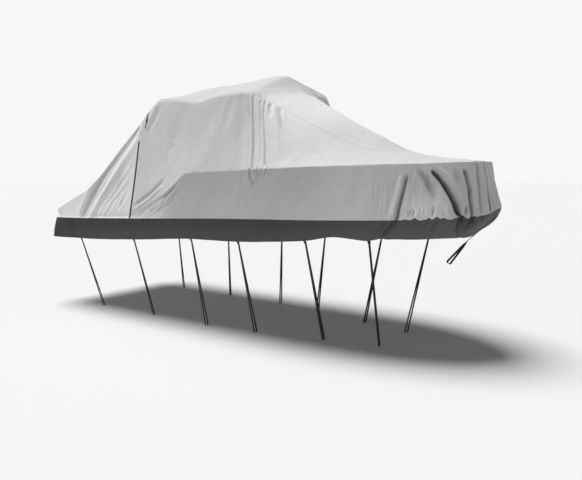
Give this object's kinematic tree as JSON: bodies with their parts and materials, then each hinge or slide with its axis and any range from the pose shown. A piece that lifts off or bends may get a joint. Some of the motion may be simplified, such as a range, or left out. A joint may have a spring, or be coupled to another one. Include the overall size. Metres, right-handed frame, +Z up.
{
  "type": "fitted boat cover",
  "caption": "Fitted grey cloth cover for a trailer boat: tented over the cabin roof, gathered at the bow, with a turned-in skirt, stern zips and webbing tie-down loops.",
  "frame": {"origin": "underside of the roof's ridge, on the centreline, where the covered boat's roof holds the cloth up", "axes": "+X towards the bow, +Y to port, +Z up"},
  "size_m": [7.0282, 2.4125, 3.5178],
  "materials": {
    "canvas": "plain grey coated polyester canvas, matt",
    "skirt_canvas": "dark grey coated polyester canvas, matt",
    "webbing": "black polypropylene webbing, matt",
    "zip_teeth": "dark moulded plastic zip on its tape",
    "slider_metal": "dark grey painted zip slider"
  },
  "bodies": {
    "root": {"top_panel": "canvas", "side_starboard": "canvas", "side_port": "canvas", "nose_panel": "canvas", "skirt_starboard": "skirt_canvas", "skirt_port": "skirt_canvas", "skirt_stern": "skirt_canvas", "strap_bow": "webbing", "strap_starboard_1": "webbing", "strap_starboard_2": "webbing", "strap_starboard_3": "webbing", "strap_starboard_4": "webbing", "strap_starboard_5": "webbing", "strap_starboard_6": "webbing", "strap_port_1": "webbing", "strap_port_2": "webbing", "strap_port_3": "webbing", "strap_port_4": "webbing", "strap_port_5": "webbing", "strap_port_6": "webbing", "strap_tab_bow": "webbing", "strap_tab_starboard_1": "webbing", "strap_tab_starboard_2": "webbing", "strap_tab_starboard_3": "webbing", "strap_tab_starboard_4": "webbing", "strap_tab_starboard_5": "webbing", "strap_tab_starboard_6": "webbing", "strap_tab_port_1": "webbing", "strap_tab_port_2": "webbing", "strap_tab_port_3": "webbing", "strap_tab_port_4": "webbing", "strap_tab_port_5": "webbing", "strap_tab_port_6": "webbing", "zip_lower_starboard": "zip_teeth", "zip_upper_starboard": "zip_teeth", "zip_lower_port": "zip_teeth", "zip_upper_port": "zip_teeth", "zip_slider_starboard": "slider_metal", "zip_slider_port": "slider_metal"}
  },
  "joints": []
}
